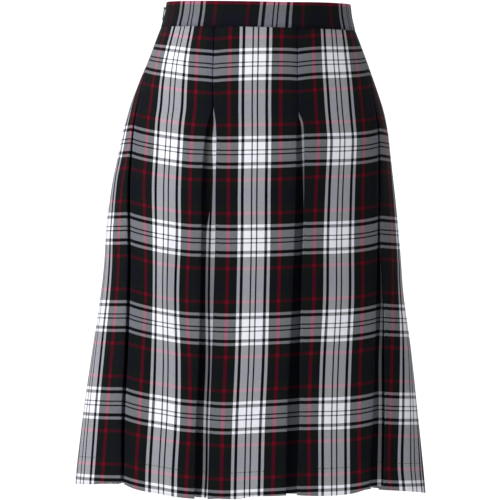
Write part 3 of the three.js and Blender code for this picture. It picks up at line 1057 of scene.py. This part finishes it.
class SKIRT_OT_front(bpy.types.Operator):
    """Make the front with its four inverted pleats"""

    bl_idname = "skirt.front"
    bl_label = "Front"

    def execute(self, context):
        tables = (FRONT, FRONT_CREASES, FRONT_GRAIN, FRONT_HEM)
        make_pleated(context, "front_cloth", "skirt_front", tables, 1)
        return {"FINISHED"}


class SKIRT_OT_back(bpy.types.Operator):
    """Make the back with its four inverted pleats"""

    bl_idname = "skirt.back"
    bl_label = "Back"

    def execute(self, context):
        tables = (BACK, BACK_CREASES, BACK_GRAIN, BACK_HEM)
        make_pleated(context, "back_cloth", "skirt_back", tables, -1)
        return {"FINISHED"}


class SKIRT_OT_waistband(bpy.types.Operator):
    """Make the doubled waistband, open at the side seam"""

    bl_idname = "skirt.waistband"
    bl_label = "Waistband"

    def profile(self):
        """The band's section, from its bottom edge up the outside, over the top and down
        the inside: height, side and the length of cloth walked. side is 1 outside."""
        radius = (BAND_WALL - BAND_CLOTH) / 2
        top = BAND_HEIGHT / 2 - BAND_WALL / 2
        bottom = SKIRT_TOP - BAND_LAP
        points = []
        for k in range(BAND_SIDE_SPANS):
            points.append((bottom + (top - bottom) * k / BAND_SIDE_SPANS, 1.0))
        for k in range(BAND_EDGE_SPANS + 1):
            turn = math.pi * k / BAND_EDGE_SPANS
            points.append((top + radius * math.sin(turn), math.cos(turn)))
        for k in range(1, BAND_SIDE_SPANS + 1):
            points.append((top - (top - bottom) * k / BAND_SIDE_SPANS, -1.0))
        found = [(*points[0], bottom + (BAND_HEIGHT - BAND_CLOTH) / 2)]
        for before, after in zip(points, points[1:]):
            step = math.hypot(after[0] - before[0], (after[1] - before[1]) * radius)
            found.append((*after, found[-1][2] + step))
        return found

    def execute(self, context):
        table = Table(BAND_COLUMNS, BAND)
        grain = Table(BAND_GRAIN_COLUMNS, BAND_GRAIN)
        profile = self.profile()
        outlines = []
        for height, _, _ in profile:
            level = table.at(height)
            outlines.append(Outline(level["half_width"], level["half_depth"]))
        middle = Outline(BAND[1][1], BAND[1][2])
        length = middle.length - BAND_OPENING

        def place(column, row):
            height, side, walked = profile[row]
            outline = outlines[row]
            share = column / BAND_SPANS
            start = BAND_OPENING / 2 - outline.quarter - SEAM_SHIFT
            arc = start + (outline.length - BAND_OPENING) * share
            wave = 0.15 * math.sin(arc / 17) * math.sin(arc / 41 + height / 9)
            point = outline.point(arc, -side * (BAND_WALL - BAND_CLOTH) / 2 - wave)
            flat = BAND_OPENING / 2 - middle.quarter - SEAM_SHIFT + length * share
            check = grain.at(point.x)
            across = flat - BAND_WHITE - check["moved"] - check["lean"] * height
            below = BAND_HEIGHT - walked - BAND_NAVY_BELOW_TOP
            rise = BAND_RISE * smooth_step(20, 100, point.x) * (height / BAND_HEIGHT + 0.5)
            x = fuller(point.x, outline.half_width, FULLER[0][1], 0.0)
            return (x, point.y, height + rise), (below + REPEAT / 2, across)

        bm = bmesh.new()
        move_grid(bm, BAND_SPANS + 1, len(profile), place)
        piece = finish_piece(bm, "waistband_cloth", cloth_material(context, (), "band_tartan"))
        thicken(piece, BAND_CLOTH)
        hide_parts("waistband")
        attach(piece, BODY)
        walked = profile[-1][2] - profile[0][2]
        walked * MM
        return {"FINISHED"}


class SKIRT_OT_zip(bpy.types.Operator):
    """Finish the side zip"""

    bl_idname = "skirt.zip"
    bl_label = "Side zip"

    def execute(self, context):
        metal = enamelled_metal("zip_enamel")
        for name in ("zip_slider", "zip_pull"):
            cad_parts[name].data.materials.clear()
            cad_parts[name].data.materials.append(metal)
        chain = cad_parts["zip_chain"].data.materials
        chain.clear()
        chain.append(woven_tape("zip_tape"))
        return {"FINISHED"}


class SKIRT_OT_stage(bpy.types.Operator):
    """Make the floor, the lights and the camera"""

    bl_idname = "skirt.stage"
    bl_label = "Stage"

    def light(self, name, place, target, size, power):
        data = bpy.data.lights.new(name, "AREA")
        data.shape = "RECTANGLE"
        data.size, data.size_y = size
        data.energy = power
        lamp = bpy.data.objects.new(name, data)
        lamp.location = place
        lamp.rotation_euler = (Vector(target) - Vector(place)).to_track_quat("-Z", "Y").to_euler()
        bpy.context.scene.collection.objects.link(lamp)

    def backdrop(self):
        """A sheet of paper that runs from the floor up into a wall behind the skirt."""
        floor, wall, reach, bend, rise = -1.05, 3.2, 9.0, 1.2, 7.0
        bm = bmesh.new()
        bmesh.ops.create_grid(bm, x_segments=1, y_segments=1, size=reach)
        bmesh.ops.translate(bm, vec=(0, wall - reach, floor), verts=bm.verts)
        far = [edge for edge in bm.edges if all(v.co.y > wall - 0.01 for v in edge.verts)]
        raised = bmesh.ops.extrude_edge_only(bm, edges=far)["geom"]
        verts = [item for item in raised if isinstance(item, bmesh.types.BMVert)]
        bmesh.ops.translate(bm, vec=(0, 0, rise), verts=verts)
        corner = [
            edge for edge in bm.edges
            if all(abs(v.co.y - wall) < 0.01 and abs(v.co.z - floor) < 0.01 for v in edge.verts)
        ]
        bmesh.ops.bevel(
            bm, geom=corner, offset=bend, segments=12, profile=0.5, affect="EDGES", material=-1,
        )
        for face in bm.faces:
            face.smooth = True
        paper = finish_piece(bm, "studio_paper", studio_paper("pale_paper", (0.9, 0.9, 0.9, 1)))

    def execute(self, context):
        scene = context.scene
        view = scene.skirt_view
        self.backdrop()
        self.light("key", (-1.62, -1.62, 1.13), (0, 0, -0.3), (1.7, 1.7), 75)
        self.light("fill", (0.9, -5.0, -0.2), (0, 0, -0.3), (2.0, 2.0), 27)
        self.light("wall", (0, 0.2, 3.4), (0, 3.2, -0.2), (5.0, 1.5), 200)
        world = bpy.data.worlds.new("studio")
        world.use_nodes = True
        world.node_tree.nodes["Background"].inputs["Color"].default_value = (1, 1, 1, 1)
        world.node_tree.nodes["Background"].inputs["Strength"].default_value = 0.14
        scene.world = world
        scene.view_settings.view_transform = "Standard"
        data = bpy.data.cameras.new("camera")
        data.sensor_width = 36.0
        data.lens = data.sensor_width * (view.distance - FRONT_REACH * MM) / view.seen
        data.clip_end = 60.0
        camera = bpy.data.objects.new("camera", data)
        camera.location = (view.side, -view.distance, view.height)
        camera.rotation_euler = (math.pi / 2, -view.roll, 0)
        scene.collection.objects.link(camera)
        scene.camera = camera
        return {"FINISHED"}


OPERATORS = (
    SKIRT_OT_waistband,
    SKIRT_OT_front,
    SKIRT_OT_back,
    SKIRT_OT_zip,
    SKIRT_OT_stage,
)


class SKIRT_PT_panel(bpy.types.Panel):
    """The skirt's sizes and the buttons that make its pieces"""

    bl_idname = "SKIRT_PT_panel"
    bl_label = "Box Pleat Skirt"
    bl_space_type = "VIEW_3D"
    bl_region_type = "UI"
    bl_category = "Skirt"

    def draw(self, context):
        for group in (context.scene.skirt_cloth, context.scene.skirt_view):
            for name in group.__annotations__:
                self.layout.prop(group, name)
        for operator in OPERATORS:
            self.layout.operator(operator.bl_idname)


CLASSES = (SkirtCloth, SkirtView, *OPERATORS, SKIRT_PT_panel)


def register():
    for cls in CLASSES:
        bpy.utils.register_class(cls)
    bpy.types.Scene.skirt_cloth = bpy.props.PointerProperty(type=SkirtCloth)
    bpy.types.Scene.skirt_view = bpy.props.PointerProperty(type=SkirtView)


def unregister():
    del bpy.types.Scene.skirt_view
    del bpy.types.Scene.skirt_cloth
    for cls in reversed(CLASSES):
        bpy.utils.unregister_class(cls)


def main():
    register()
    bpy.ops.skirt.waistband()
    bpy.ops.skirt.front()
    bpy.ops.skirt.back()
    bpy.ops.skirt.zip()
    bpy.ops.skirt.stage()


if __name__ == "__main__":
    main()
